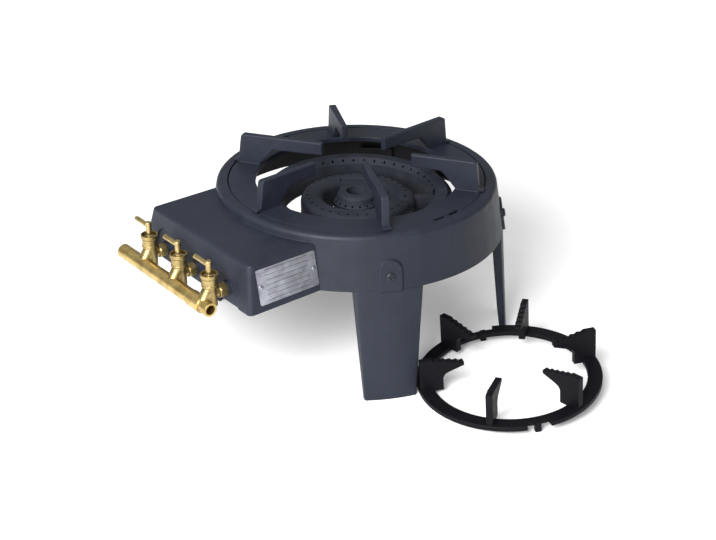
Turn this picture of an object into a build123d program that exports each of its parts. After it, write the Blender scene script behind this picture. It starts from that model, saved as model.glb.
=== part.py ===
from build123d import *
from math import atan2, cos, degrees, radians, sin, sqrt, tan
import os

# Free-standing cast-iron stock pot range: a round casing on four legs, a nose box with three
# brass taps, a burner of three concentric rings, a pot ring, and a smaller pot ring that
# lies beside it. Millimetres. The origin is the burner axis at floor level, +Z is up and
# the taps face -Y.

os.makedirs("parts", exist_ok=True)

# ---------------------------------------------------------------- driving dimensions

# casing (round drum, drafted outward towards its open bottom)
DRUM_TOP_Z = 237.6
DRUM_BOTTOM_Z = 162.5
DRUM_RIM_R = 200.0          # outer wall radius carried up to the rim
DRUM_BOTTOM_R = 213.0
DRUM_WALL = 8.0
DRUM_RIM_ROUND = 7.0
SKIRT_NOTCH_ANGLES = (155.0, 191.0)     # air notch in the casing's lower edge, degrees
SKIRT_NOTCH_TOP_Z = 177.0
FAR = 400.0                 # beyond every part
RING_SEAT_DEPTH = 8.0       # how far the pot ring's seat lies below the rim
RING_SEAT_INNER_R = 170.0
RING_SEAT_THICK = 7.0

# nose box that carries the taps
NOSE_TOP_Z = 225.4
NOSE_TOP_HALF_WIDTH = 116.4
NOSE_TOP_FRONT_Y = -270.6
NOSE_SIDE_DRAFT = 12.6      # degrees from vertical
NOSE_FRONT_DRAFT = 9.8
NOSE_CORNER_R = 7.0
NOSE_TOP_ROUND = 4.0
NOSE_WALL = 7.0
NOSE_BACK_Y = -120.0        # the box runs into the drum as far as this
NOSE_FRONT_BACK_Y = -265.0  # flat inner side of the nose's front wall
TAP_PANEL_DEPTH = 2.0       # of the shallow recess in the nose's front
TAP_SEAT_Y = -280.0         # front face of the bosses that the outlet nuts seat on
TAP_PANEL_HALF_WIDTH = 94.0
TAP_PANEL_TOP_Z = 204.5
TAP_PANEL_CORNER_R = 14.0
TAP_BOSS_R = 10.5
TUBE_REST_Y = -196.0        # cross rib with a saddle for each mixing tube
TUBE_REST_THICK = 8.0
TUBE_REST_TOP_Z = 177.0

# legs
LEG_ANGLES = {"front_right": -27.0, "back_right": 48.5, "back_left": 131.5, "front_left": 207.0}
LEG_TOP_WIDTH = 89.0        # of the front face
LEG_FOOT_WIDTH = 73.0
LEG_TOP_OUTER_R = 213.0
LEG_FOOT_OUTER_R = 226.0
LEG_TOP_DEPTH = 17.0
LEG_FOOT_DEPTH = 11.0
LEG_TOP_FLARE = 6.5         # how far each flank spreads towards the back
LEG_FOOT_FLARE = 1.0
LEG_WEB = 6.0               # thickness of the face plate and of its two side ribs
LEG_TONGUE_WIDTH = 50.0
LEG_TONGUE_THICK = 7.0
LEG_TONGUE_TOP_Z = 200.0
LEG_BOSS_WIDTH = 35.0
LEG_BOSS_TOP_Z = 206.0
LEG_BOSS_PROUD = 3.0
LEG_BOSS_TAPER = 35.0       # degrees, of the boss's bevelled edge
LEG_SCREW_Z = 181.5
LEG_SCREW_R = 4.0
LEG_SCREW_HEAD_R = 6.3
LEG_SCREW_HEAD_THICK = 3.2
LEG_NUT_FLATS = 13.0
LEG_NUT_THICK = 6.5

# pot ring
POT_RING_OUTER_R = 183.6
POT_RING_INNER_R = 145.0
POT_RING_THICK = 7.5
POT_RING_FINS = 6
POT_RING_FIRST_FIN = -26.8  # degrees
POT_FIN_THICK = 11.5        # at the outer end
POT_FIN_TIP_THICK = 8.5
POT_FIN_TOP_Z = 281.0
POT_FIN_TIP_HEIGHT = 19.0
POT_FIN_INSET = 3.6         # of the fin's outer end from the ring's edge
POT_FIN_OUTER_R = POT_RING_OUTER_R - POT_FIN_INSET
POT_FIN_LEAN = 5.0          # how far the outer end leans inwards at its top
POT_FIN_OUTER_TOP_R = POT_FIN_OUTER_R - POT_FIN_LEAN
POT_FIN_CORNER_R = 5.0
POT_FIN_FOOT_LAP = 7.5      # the fin's foot laps over the gap round the ring
POT_FIN_FOOT_R = POT_FIN_OUTER_R + POT_FIN_FOOT_LAP
POT_FIN_FOOT_RISE = 0.4     # above the casing's rim
POT_FIN_LONG_TIP_R = 51.0
POT_FIN_SHORT_TIP_R = 81.0
POT_FIN_BEND_R = 125.0
POT_FIN_BEND_ROUND = 8.0
POT_FIN_EDGE_ROUND = 1.8
POT_FIN_ROOT_R = 147.0

# small pot ring
SMALL_RING_X = 274.2
SMALL_RING_Y = 50.1
SMALL_RING_OUTER_R = 129.0
SMALL_RING_INNER_R = 108.5
SMALL_RING_THICK = 6.5
SMALL_RING_FINS = 6
SMALL_RING_FIRST_FIN = 3.5
SMALL_FIN_THICK = 9.0
SMALL_FIN_HEIGHT = 53.0
SMALL_FIN_OUTER_R = 126.5
SMALL_FIN_SHOULDER_R = 110.0
SMALL_FIN_WEB_R = 95.0
SMALL_FIN_TIP_R = 65.0
SMALL_FIN_TIP_TOP = 42.0
SMALL_FIN_TIP_BOTTOM = 37.0
SMALL_FIN_TEETH = 5

# locating lugs that both pot rings have, in notches of the outer edge
LUG_DROP = 9.5
LUG_WIDTH = 8.0
LUG_DEPTH = 7.0
LUG_NOTCH_HALF_ANGLE = 7.5
POT_NOTCH_DEPTH = 5.0
SMALL_NOTCH_DEPTH = 10.0

# burner: three rings, each with its own mixing tube; the two inner ones are hollow
GAS_Z = 180.0               # height of the tap outlets and of the mixing tubes
BURNER_WALL = 4.0
OUTER_RING_OUTER_R = 138.5
OUTER_RING_WIDTH = 30.5
OUTER_RING_INNER_R = OUTER_RING_OUTER_R - OUTER_RING_WIDTH
OUTER_RING_TOP_Z = 216.0
OUTER_RING_BOTTOM_Z = 173.5
MIDDLE_RING_OUTER_R = 81.0
MIDDLE_RING_INNER_R = 48.0
MIDDLE_RING_TOP_Z = 208.0
MIDDLE_RING_BOTTOM_Z = 172.0
MIDDLE_RING_ROUND = 10.0
HUB_R = 33.0
HUB_SHOULDER_Z = 198.0      # flame ports sit just above this shoulder
HUB_COLLAR_R = 28.5
HUB_COLLAR_Z = 201.5
HUB_TOP_Z = 213.0
HUB_BOTTOM_Z = 165.0
HUB_HOLE_R = 15.0
HUB_GAS_R = 18.5
HUB_CAVITY_TOP_Z = 196.0
RING_BEVEL = 8.0
TUBE_R = 13.0
TUBE_BORE_R = 10.0
BELL_R = 16.5
BELL_LENGTH = 22.0
BELL_MOUTH_Y = -247.0
TUBE_CLEARANCE = 1.2        # under the arches where a tube passes another ring
OUTER_ARM_WIDTH = 14.0
OUTER_ARM_THICK = 25.0
INNER_ARM_WIDTH = 50.0
INNER_ARM_THICK = 18.0
ARM_TOP_Z = 205.5
INNER_ARM_START_R = 18.0
ARM_SEAT = 6.0
ARM_CLEARANCE = 0.3
OUTER_ARM_ANGLE = 50.0
INNER_ARM_ANGLE = 140.0
DOME_CENTRE_R = 69.0
DOME_R = 18.0
DOME_STRETCH = 1.5          # along the ring
DOME_RISE = 6.0

# ears that carry the outer burner ring, and their screws
EAR_ANGLES = (-12.0, 100.0, 218.5)
EAR_WIDTH = 20.0
EAR_THICK = 8.0
EAR_INNER_R = OUTER_RING_INNER_R + 6.0
BURNER_SCREW_R = 3.0
BURNER_SCREW_HEAD_R = 5.5
BURNER_SCREW_HEAD_THICK = 3.4
BURNER_SCREW_REACH = 9.0
SCREW_HOLE_CLEARANCE = 0.1

# taps and gas manifold
TAP_NAMES = ("left", "middle", "right")
TAP_PITCH = 73.0
TAP_STANDOFF = 23.0         # from the nuts' seats to the taps' upright axes
TAP_Y = TAP_SEAT_Y - TAP_STANDOFF
TAP_TURN = 90.0             # degrees from shut to open
BARREL_R = 10.2
BARREL_RIM_R = 11.7
BARREL_RIM_HEIGHT = 4.5
BARREL_TOP_Z = 209.6
BARREL_BEAD_Z = 193.0
BARREL_BEAD_R = 10.9
BARREL_BEAD_HEIGHT = 1.6
BARREL_BOTTOM_Z = 164.0
BARREL_LOWER_R = 9.4
BARREL_FLOOR = 13.0         # brass left under the plug
CUP_R = 9.6
CUP_DEPTH = 6.0
PLUG_R = 6.5                # the plug tapers downwards
PLUG_TAPER = 2.4
PLUG_WAY_R = 2.2
STEM_R = 3.9
STEM_COLLAR_R = 5.2
STEM_COLLAR_HEIGHT = 2.4
STEM_TOP_Z = 228.0
RUNNING_CLEARANCE = 0.05
END_CLEARANCE = 0.3
GLAND_THICK = 3.0
LEVER_R = 3.4
LEVER_REACH = 31.5
LEVER_Z = 222.2
LEVER_SPIGOT_R = 1.9
LEVER_SPIGOT_DEPTH = 4.5
LEVER_SLOT_WIDTH = 1.2
LEVER_SLOT_DEPTH = 5.0
STOP_SCREW_Z = 198.0
STOP_SCREW_R = 1.5
STOP_SCREW_HEAD_R = 2.7
STOP_SCREW_HEAD_THICK = 1.4
STOP_GROOVE_DEPTH = 1.8
SPOUT_R = 7.0
SPOUT_THREAD_R = 5.5
SPOUT_BORE_R = 3.0
NUT_FLATS = 18.0
NUT_LENGTH = 12.0
NUT_CHAMFER = 2.0
INJECTOR_FLATS = 15.0
INJECTOR_LENGTH = 13.0
INJECTOR_TIP_R = 3.4
JET_R = 1.0
PIPE_OFFSET = 12.8          # from the taps' axes out to the pipe's axis
PIPE_Y = TAP_Y - PIPE_OFFSET
PIPE_Z = 168.3
PIPE_R = 10.3
PIPE_WALL = 2.5
PIPE_LEFT_X = -125.0
PIPE_RIGHT_X = 64.0
PIPE_CAP = 6.0
SADDLE_R = 9.2
SADDLE_RISE = 20.0          # the saddle meets the barrel this far above the pipe's axis
SPIGOT_R = 4.1              # on the saddle, through the pipe's wall
SPIGOT_START = 0.36         # share of the way from the pipe's axis to the tap's
INLET_SLEEVE_X = 48.0
INLET_SLEEVE_R = 11.3
INLET_SLEEVE_END_X = 76.0
INLET_SLEEVE_CHAMFER = 0.6
INLET_STUB_R = 9.4
INLET_END_X = 92.0
INLET_BORE_R = 6.8
INLET_BORE_DEPTH = 14.0

# data plate, left bare
PLATE_LENGTH = 94.0
PLATE_HEIGHT = 48.0
PLATE_THICK = 1.0
PLATE_CENTRE_Y = -216.0
PLATE_CENTRE_Z = 194.5
RIVET_R = 1.6
RIVET_DEPTH = 5.0
RIVET_HEAD_R = 3.2
RIVET_HEAD = 1.4
RIVET_INSET = 5.0

# ---------------------------------------------------------------- derived sizes

WALL_SLOPE = (DRUM_BOTTOM_R - DRUM_RIM_R) / (DRUM_TOP_Z - DRUM_BOTTOM_Z)
WALL_LEAN = degrees(atan2(WALL_SLOPE, 1.0))
RING_SEAT_Z = DRUM_TOP_Z - RING_SEAT_DEPTH
RING_SEAT_OUTER_R = POT_RING_OUTER_R + 1.2
POT_RING_TOP_Z = RING_SEAT_Z + POT_RING_THICK
NOSE_HEIGHT = NOSE_TOP_Z - DRUM_BOTTOM_Z
NOSE_BOTTOM_HALF_WIDTH = NOSE_TOP_HALF_WIDTH + NOSE_HEIGHT * tan(radians(NOSE_SIDE_DRAFT))
NOSE_BOTTOM_FRONT_Y = NOSE_TOP_FRONT_Y - NOSE_HEIGHT * tan(radians(NOSE_FRONT_DRAFT))
TAP_X = {name: (i - 1) * TAP_PITCH for i, name in enumerate(TAP_NAMES)}


def wall_radius(z):
    """Outer radius of the drum's drafted wall at height z."""
    return DRUM_BOTTOM_R - WALL_SLOPE * (z - DRUM_BOTTOM_Z)


# ---------------------------------------------------------------- helpers

def revolved(points):
    """Solid of revolution about the burner axis from (radius, height) points."""
    return revolve(Plane.XZ * make_face(Polyline(*points, close=True)), Axis.Z)


def turned(shape, degrees_about_z):
    return Rot(0, 0, degrees_about_z) * shape


def block(x0, x1, y0, y1, z0, z1):
    size = Box(x1 - x0, y1 - y0, z1 - z0)
    return Pos((x0 + x1) / 2, (y0 + y1) / 2, (z0 + z1) / 2) * size


def rod(start, end, radius):
    """Round bar between two points."""
    start = Vector(*start)
    end = Vector(*end)
    plane = Plane(origin=start, z_dir=end - start)
    return extrude(plane * Circle(radius), (end - start).length)


def hexagon_prism(start, end, flats):
    """Hexagonal bar between two points, measured across its flats."""
    start = Vector(*start)
    end = Vector(*end)
    plane = Plane(origin=start, z_dir=end - start)
    return extrude(plane * RegularPolygon(flats / sqrt(3), 6), (end - start).length)


def ring_band(outer_r, inner_r, z0, z1):
    return revolved([(inner_r, z0), (outer_r, z0), (outer_r, z1), (inner_r, z1)])


def save(shape, name):
    shape.label = name
    export_step(shape, f"parts/{name}.step")


# ---------------------------------------------------------------- casing

def wall_plane(angle, z):
    """Plane on the drum's outer wall, facing straight out of its draft, with local y uphill."""
    r = wall_radius(z)
    a = radians(angle)
    lean = radians(WALL_LEAN)
    origin = (r * cos(a), r * sin(a), z)
    outward = (cos(a) * cos(lean), sin(a) * cos(lean), sin(lean))
    return Plane(origin=origin, x_dir=(-sin(a), cos(a), 0), z_dir=outward)


def leg_boss(angle):
    """Arched pad on the drum wall round a leg screw; it runs down to the casing's edge."""
    half = LEG_BOSS_WIDTH / 2
    lean = cos(radians(WALL_LEAN))
    top = (LEG_BOSS_TOP_Z - LEG_SCREW_Z) / lean - half
    foot = (DRUM_BOTTOM_Z - LEG_SCREW_Z) / lean - LEG_BOSS_PROUD
    outline = Pos(0, (top + foot) / 2) * Rectangle(LEG_BOSS_WIDTH, top - foot)
    outline += Pos(0, top) * Circle(half)
    plane = wall_plane(angle, LEG_SCREW_Z)
    pad = extrude(plane * outline, LEG_BOSS_PROUD, taper=LEG_BOSS_TAPER)
    return pad + extrude(plane * outline, -DRUM_WALL / 2)


def nose_shell(inset, z_top):
    """Drafted box, closed at z_top; inset moves every wall inwards."""
    def outline(z):
        drop = NOSE_TOP_Z - z
        half = NOSE_TOP_HALF_WIDTH + drop * tan(radians(NOSE_SIDE_DRAFT)) - inset
        front = NOSE_TOP_FRONT_Y - drop * tan(radians(NOSE_FRONT_DRAFT)) + inset
        corner = max(NOSE_CORNER_R - inset, 2.0)
        face = Pos(0, (front + NOSE_BACK_Y) / 2) * Rectangle(2 * half, NOSE_BACK_Y - front)
        corners = face.vertices().group_by(Axis.Y)[0]
        return Pos(0, 0, z) * fillet(corners, corner)
    return loft([outline(DRUM_BOTTOM_Z), outline(z_top)], ruled=True)


def make_casing():
    seat_z = RING_SEAT_Z
    under_z = seat_z - RING_SEAT_THICK
    rim_r = wall_radius(DRUM_TOP_Z)
    outer = Plane.XZ * make_face(Polyline(
        (0, DRUM_BOTTOM_Z),
        (DRUM_BOTTOM_R, DRUM_BOTTOM_Z),
        (rim_r, DRUM_TOP_Z),
        (0, DRUM_TOP_Z),
        close=True))
    outer = fillet(outer.vertices().sort_by(Axis.Z)[-2:].sort_by(Axis.X)[-1], DRUM_RIM_ROUND)
    drum = revolve(outer, Axis.Z)
    nose = nose_shell(0, NOSE_TOP_Z)
    top_edges = nose.faces().sort_by(Axis.Z)[-1].edges()
    nose = fillet([e for e in top_edges if e.center().Y < NOSE_BACK_Y - 1], NOSE_TOP_ROUND)
    casing = drum + nose
    for angle in LEG_ANGLES.values():
        casing += leg_boss(angle)

    # hollow the drum, then leave the seat and the ears
    casing -= revolved([
        (0, DRUM_BOTTOM_Z - 1),
        (wall_radius(DRUM_BOTTOM_Z - 1) - DRUM_WALL, DRUM_BOTTOM_Z - 1),
        (wall_radius(under_z) - DRUM_WALL, under_z),
        (RING_SEAT_INNER_R, under_z),
        (RING_SEAT_INNER_R, seat_z),
        (RING_SEAT_OUTER_R, seat_z),
        (RING_SEAT_OUTER_R, DRUM_TOP_Z + 1),
        (0, DRUM_TOP_Z + 1)])
    casing -= nose_shell(NOSE_WALL, NOSE_TOP_Z - NOSE_WALL) & block(
        -FAR, FAR, NOSE_FRONT_BACK_Y, NOSE_BACK_Y, 0, FAR)
    casing -= tap_recess()
    for x in TAP_X.values():
        casing += rod((x, NOSE_FRONT_BACK_Y, GAS_Z), (x, TAP_SEAT_Y, GAS_Z), TAP_BOSS_R)
    casing += tube_rest()
    for angle in EAR_ANGLES:
        casing += turned(ear(), angle)
    casing -= block(-FAR, FAR, -FAR, FAR, 0, DRUM_BOTTOM_Z)
    casing -= skirt_notch()

    for x in TAP_X.values():
        casing -= rod((x, TAP_SEAT_Y - 10, GAS_Z), (x, NOSE_FRONT_BACK_Y + 10, GAS_Z), SPOUT_THREAD_R + 0.3)
    for y in rivet_places():
        casing -= rivet(y, SCREW_HOLE_CLEARANCE)
    for angle in EAR_ANGLES:
        casing -= turned(burner_screw_hole(), angle)
    for angle in LEG_ANGLES.values():
        casing -= leg_screw_hole(angle)
    for side in (0, 180):
        casing -= turned(lug_slot(), lug_angle() + side)
    return casing


def sector(start, end, inner_r):
    """Flat sector outside inner_r, between two angles in degrees."""
    points = [(FAR * cos(radians(a)), FAR * sin(radians(a))) for a in (start, end)]
    return make_face(Polyline((0, 0), *points, close=True)) - Circle(inner_r)


def skirt_notch():
    """Wide shallow notch in the lower edge of the casing's wall, between two legs."""
    inner_r = wall_radius(SKIRT_NOTCH_TOP_Z) - DRUM_WALL - 2
    height = SKIRT_NOTCH_TOP_Z - DRUM_BOTTOM_Z + 1
    return Pos(0, 0, DRUM_BOTTOM_Z - 1) * extrude(sector(*SKIRT_NOTCH_ANGLES, inner_r), height)


def tap_recess():
    """Shallow recess in the nose's drafted front, with rounded top corners, open at the bottom."""
    lean = radians(NOSE_FRONT_DRAFT)
    top = (TAP_PANEL_TOP_Z - NOSE_TOP_Z) / cos(lean)
    bottom = (DRUM_BOTTOM_Z - 5 - NOSE_TOP_Z) / cos(lean)
    half = TAP_PANEL_HALF_WIDTH
    flare = (top - bottom) * tan(radians(NOSE_SIDE_DRAFT))
    outline = make_face(Polyline(
        (-half, top),
        (-half - flare, bottom),
        (half + flare, bottom),
        (half, top),
        close=True))
    outline = fillet(outline.vertices().group_by(Axis.Y)[-1], TAP_PANEL_CORNER_R)
    origin = (0, NOSE_TOP_FRONT_Y + TAP_PANEL_DEPTH / cos(lean), NOSE_TOP_Z)
    plane = Plane(origin=origin, x_dir=(1, 0, 0), z_dir=(0, -cos(lean), sin(lean)))
    return extrude(plane * outline, 30)


def tube_rest():
    """Cross rib inside the nose, with a half-round saddle under each mixing tube."""
    y0 = TUBE_REST_Y - TUBE_REST_THICK / 2
    y1 = TUBE_REST_Y + TUBE_REST_THICK / 2
    half = NOSE_TOP_HALF_WIDTH + (NOSE_TOP_Z - TUBE_REST_TOP_Z) * tan(radians(NOSE_SIDE_DRAFT)) - 2
    rib = block(-half, half, y0, y1, DRUM_BOTTOM_Z, TUBE_REST_TOP_Z)
    for x in TAP_X.values():
        rib -= rod((x, y0 - 1, GAS_Z), (x, y1 + 1, GAS_Z), TUBE_R + ARM_CLEARANCE)
    return rib


def ear():
    """Cast ear on the drum's inner wall, under the outer burner ring."""
    top = OUTER_RING_BOTTOM_Z
    outer_r = wall_radius(top) - DRUM_WALL / 2
    plate = block(EAR_INNER_R + EAR_WIDTH / 2, outer_r, -EAR_WIDTH / 2, EAR_WIDTH / 2, top - EAR_THICK, top)
    return plate + Pos(EAR_INNER_R + EAR_WIDTH / 2, 0, top - EAR_THICK / 2) * Cylinder(EAR_WIDTH / 2, EAR_THICK)


def burner_screw_r():
    return EAR_INNER_R + EAR_WIDTH / 2


def burner_screw_hole():
    r = burner_screw_r()
    top = OUTER_RING_BOTTOM_Z + BURNER_SCREW_REACH + 1
    return rod((r, 0, DRUM_BOTTOM_Z - 30), (r, 0, top), BURNER_SCREW_R + SCREW_HOLE_CLEARANCE)


def leg_screw_hole(angle):
    plane = wall_plane(angle, LEG_SCREW_Z)
    hole = plane * Pos(0, 0, -5) * Cylinder(LEG_SCREW_R + SCREW_HOLE_CLEARANCE, 60)
    return hole


def lug_angle():
    return POT_RING_FIRST_FIN + 180.0 / POT_RING_FINS


def lug_slot():
    """Slot in the ring seat that takes one of the pot ring's lugs."""
    gap = 1.0
    r1 = POT_RING_OUTER_R - POT_NOTCH_DEPTH + LUG_DEPTH / 2 + gap
    r0 = r1 - LUG_DEPTH - 2 * gap
    half = LUG_WIDTH / 2 + gap
    return block(r0, r1, -half, half, RING_SEAT_Z - RING_SEAT_THICK - 4, RING_SEAT_Z + 1)


# ---------------------------------------------------------------- legs

def leg_section(z, outer_r, depth, width, flare, trim):
    """Curved face with two flanks that spread towards the back; trim shrinks it for the hollow."""
    edge = sqrt(outer_r ** 2 - (width / 2) ** 2)
    front = outer_r + LEG_WEB
    back = outer_r - depth - (LEG_WEB if trim else 0)
    half_front = width / 2 - trim + flare * (edge - front) / depth
    half_back = width / 2 - trim + flare * (edge - back) / depth
    bar = make_face(Polyline(
        (back, -half_back),
        (front, -half_front),
        (front, half_front),
        (back, half_back),
        close=True))
    return Pos(0, 0, z) * (Circle(outer_r - trim) & bar)


def leg_foot_section(z, trim):
    return leg_section(z, LEG_FOOT_OUTER_R, LEG_FOOT_DEPTH, LEG_FOOT_WIDTH, LEG_FOOT_FLARE, trim)


def leg_top_section(z, trim):
    return leg_section(z, LEG_TOP_OUTER_R, LEG_TOP_DEPTH, LEG_TOP_WIDTH, LEG_TOP_FLARE, trim)


def make_leg(angle):
    top_z = DRUM_BOTTOM_Z
    plate = loft([leg_foot_section(0, 0), leg_top_section(top_z, 0)], ruled=True)
    upright = plate.edges().filter_by(lambda e: abs(e.tangent_at(0.5).Z) > 0.9)
    outer = upright.sort_by(lambda e: e.center().X)[-2:]
    plate = fillet(outer, 3.0)
    hollow = loft([
        leg_foot_section(LEG_WEB * 2, LEG_WEB),
        leg_top_section(top_z - LEG_WEB * 2, LEG_WEB)], ruled=True)
    plate -= hollow
    leg = plate + leg_tongue()
    return turned(leg, angle) - leg_screw_hole(angle)


def leg_tongue():
    """Upper tongue that stands inside the drum wall and takes the screw."""
    gap = 0.2
    z0 = DRUM_BOTTOM_Z - 10
    z1 = LEG_TONGUE_TOP_Z
    lean = WALL_SLOPE
    face_r = wall_radius(z1) - DRUM_WALL - gap
    base_r = wall_radius(DRUM_BOTTOM_Z) - DRUM_WALL - gap
    band = revolved([
        (base_r - LEG_TONGUE_THICK, z0),
        (base_r, z0),
        (base_r, DRUM_BOTTOM_Z),
        (face_r, z1),
        (face_r - LEG_TONGUE_THICK, z1),
        (base_r - LEG_TONGUE_THICK, DRUM_BOTTOM_Z)])
    half = LEG_TONGUE_WIDTH / 2
    return band & block(0, 300, -half, half, z0, z1)


def leg_screw(angle):
    plane = wall_plane(angle, LEG_SCREW_Z)
    head_r = LEG_SCREW_HEAD_R
    seat = LEG_BOSS_PROUD
    back = -DRUM_WALL - 0.2 - LEG_TONGUE_THICK
    shank_end = back - LEG_NUT_THICK - 2.0
    profile = make_face(Polyline(
        (0, shank_end),
        (LEG_SCREW_R, shank_end),
        (LEG_SCREW_R, seat),
        (head_r, seat),
        (head_r, seat + LEG_SCREW_HEAD_THICK * 0.45),
        (head_r * 0.72, seat + LEG_SCREW_HEAD_THICK * 0.9),
        (0, seat + LEG_SCREW_HEAD_THICK),
        close=True))
    screw = revolve(Plane.XZ * profile, Axis.Z)
    cross = Box(head_r * 1.1, 1.3, 3) + Box(1.3, head_r * 1.1, 3)
    screw -= Pos(0, 0, seat + LEG_SCREW_HEAD_THICK) * cross
    return plane * screw


def leg_nut(angle):
    plane = wall_plane(angle, LEG_SCREW_Z)
    back = -DRUM_WALL - 0.2 - LEG_TONGUE_THICK
    nut = extrude(Pos(0, 0, back - LEG_NUT_THICK) * RegularPolygon(LEG_NUT_FLATS / sqrt(3), 6), LEG_NUT_THICK)
    nut -= Pos(0, 0, back) * Cylinder(LEG_SCREW_R, 4 * LEG_NUT_THICK)
    return plane * nut


# ---------------------------------------------------------------- pot rings

def fin(profile, thickness):
    """Upright radial fin from a (radius, height) face."""
    return extrude(Plane.XZ * profile, thickness / 2, both=True)


def notched_ring(outer_r, inner_r, z0, thickness, notch_depth, angle):
    """Flat ring whose outer edge has two opposite notches, each with a lug pointing down."""
    ring = ring_band(outer_r, inner_r, z0, z0 + thickness)
    inner_notch = outer_r - notch_depth
    ring = chamfer(ring.edges().filter_by(GeomType.CIRCLE).group_by(Axis.Z)[-1], 1.0)
    wedge = sector(-LUG_NOTCH_HALF_ANGLE, LUG_NOTCH_HALF_ANGLE, inner_notch)
    notch = extrude(Pos(0, 0, z0 - 1) * wedge, thickness + 2)
    lug = block(inner_notch - LUG_DEPTH / 2, inner_notch + LUG_DEPTH / 2,
                -LUG_WIDTH / 2, LUG_WIDTH / 2, z0 - LUG_DROP, z0 + thickness - 1.0)
    for side in (0, 180):
        ring -= turned(notch, angle + side)
        ring += turned(lug, angle + side)
    return ring


def pot_fin(tip_r):
    """Radial fin that thins towards its tip; its foot laps over the gap round the ring."""
    tip_z = POT_FIN_TOP_Z - POT_FIN_TIP_HEIGHT
    base_z = RING_SEAT_Z + POT_RING_THICK / 2
    foot_z = DRUM_TOP_Z + POT_FIN_FOOT_RISE
    foot_edge = (POT_FIN_FOOT_R - POT_FIN_OUTER_R) / 3
    profile = make_face(Polyline(
        (tip_r, POT_FIN_TOP_Z),
        (tip_r, tip_z),
        (POT_FIN_BEND_R, tip_z),
        (POT_FIN_ROOT_R, POT_RING_TOP_Z),
        (POT_FIN_ROOT_R, base_z),
        (POT_FIN_OUTER_R, base_z),
        (POT_FIN_OUTER_R, foot_z),
        (POT_FIN_FOOT_R, foot_z),
        (POT_FIN_FOOT_R, foot_z + foot_edge),
        (POT_FIN_OUTER_R, foot_z + 2 * foot_edge),
        (POT_FIN_OUTER_TOP_R, POT_FIN_TOP_Z),
        close=True))
    profile = rounded_corner(profile, POT_FIN_BEND_R, tip_z, POT_FIN_BEND_ROUND)
    profile = rounded_corner(profile, POT_FIN_OUTER_TOP_R, POT_FIN_TOP_Z, POT_FIN_CORNER_R)
    plan = make_face(Polyline(
        (tip_r - 1, -POT_FIN_TIP_THICK / 2),
        (POT_FIN_FOOT_R + 1, -POT_FIN_THICK / 2),
        (POT_FIN_FOOT_R + 1, POT_FIN_THICK / 2),
        (tip_r - 1, POT_FIN_TIP_THICK / 2),
        close=True))
    shape = fin(profile, 2 * POT_FIN_THICK) & extrude(plan, FAR)
    edges = shape.edges().filter_by(lambda e: e.center().Z > tip_z - 1 and e.length > POT_FIN_TIP_HEIGHT - 1)
    return fillet(edges, POT_FIN_EDGE_ROUND)


def rounded_corner(face, x, y, radius):
    """Face with a fillet at the corner nearest to (x, y)."""
    return fillet(face.vertices().sort_by_distance((x, y, 0))[0], radius)


def make_pot_ring():
    ring = notched_ring(
        POT_RING_OUTER_R, POT_RING_INNER_R, RING_SEAT_Z, POT_RING_THICK, POT_NOTCH_DEPTH, lug_angle())
    for k in range(POT_RING_FINS):
        tip_r = POT_FIN_LONG_TIP_R if k % 2 == 0 else POT_FIN_SHORT_TIP_R
        ring += turned(pot_fin(tip_r), POT_RING_FIRST_FIN + k * 360.0 / POT_RING_FINS)
    return ring


def small_fin():
    """Claw-shaped fin: flat shoulder, toothed slope down to a tip that overhangs the ring."""
    points = [(SMALL_FIN_OUTER_R, SMALL_RING_THICK / 2), (SMALL_FIN_OUTER_R, SMALL_FIN_HEIGHT)]
    run = (SMALL_FIN_SHOULDER_R - SMALL_FIN_TIP_R) / SMALL_FIN_TEETH
    drop = (SMALL_FIN_HEIGHT - SMALL_FIN_TIP_TOP) / SMALL_FIN_TEETH
    for k in range(SMALL_FIN_TEETH):
        r = SMALL_FIN_SHOULDER_R - k * run
        z = SMALL_FIN_HEIGHT - k * drop
        points.append((r, z))
        points.append((r - run * 0.35, z - drop * 1.35))
    points += [(SMALL_FIN_TIP_R, SMALL_FIN_TIP_TOP), (SMALL_FIN_TIP_R, SMALL_FIN_TIP_BOTTOM)]
    upper = Polyline(*points)
    bend_r = SMALL_FIN_WEB_R - 8
    bend_z = SMALL_FIN_TIP_BOTTOM - 7
    web_z = bend_z - 12
    under = Line(points[-1], (bend_r, bend_z))
    bend = ThreePointArc((bend_r, bend_z), (SMALL_FIN_WEB_R - 1.8, bend_z - 4.2), (SMALL_FIN_WEB_R, web_z))
    web = Polyline((SMALL_FIN_WEB_R, web_z), (SMALL_FIN_WEB_R, SMALL_RING_THICK / 2), points[0])
    return fin(make_face([upper, under, bend, web]), SMALL_FIN_THICK)


def small_lug_angle():
    return SMALL_RING_FIRST_FIN - 180.0 / SMALL_RING_FINS


def lay_small_ring(ring):
    """Tilt the ring about its lugs until they and its rim touch the floor together."""
    lean = atan2(LUG_DROP, SMALL_RING_OUTER_R - LUG_WIDTH / 2)
    upright = turned(ring, -small_lug_angle())
    tilted = Rot(degrees(lean), 0, 0) * upright
    placed = Pos(SMALL_RING_X, SMALL_RING_Y, SMALL_RING_OUTER_R * sin(lean))
    return placed * turned(tilted, small_lug_angle())


def make_small_ring():
    """The spare ring stands on its two lugs and one point of its rim, so it leans a little."""
    angle = small_lug_angle()
    ring = notched_ring(
        SMALL_RING_OUTER_R, SMALL_RING_INNER_R, 0, SMALL_RING_THICK, SMALL_NOTCH_DEPTH, angle)
    for k in range(SMALL_RING_FINS):
        ring += turned(small_fin(), SMALL_RING_FIRST_FIN + k * 360.0 / SMALL_RING_FINS)
    return ring


# ---------------------------------------------------------------- burner

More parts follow.
